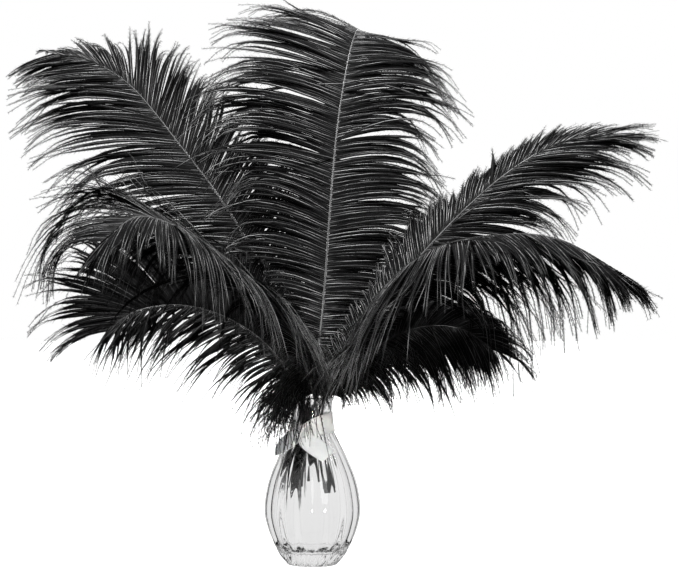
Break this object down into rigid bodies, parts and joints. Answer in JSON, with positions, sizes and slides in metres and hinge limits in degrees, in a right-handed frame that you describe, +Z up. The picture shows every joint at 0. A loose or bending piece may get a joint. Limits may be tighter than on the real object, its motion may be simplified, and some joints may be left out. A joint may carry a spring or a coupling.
{
  "type": "ostrich feather bouquet in a glass vase",
  "caption": "Bunch of black-dyed ostrich plumes arching out of a clear fluted bud vase with a satin ribbon tied round its neck; stands on its flat glass foot as a centrepiece.",
  "frame": {"origin": "centre of the vase's flat foot, on the surface it stands on", "axes": "+Z up, +X to the right of the bouquet's front, which faces -Y"},
  "size_m": [0.5759, 0.3843, 0.4727],
  "materials": {
    "glass": "clear, fire-polished, with vertical flutes",
    "satin": "white satin weave with a soft sheen",
    "feather": "dyed black, soft barbs with a slight sheen"
  },
  "bodies": {
    "root": {"vase": "glass", "ribbon": "satin", "plume_centre": "feather", "plume_back_left": "feather", "plume_right": "feather", "plume_front_right": "feather", "plume_front_left": "feather", "plume_low_left": "feather", "plume_low_right": "feather"}
  },
  "joints": []
}
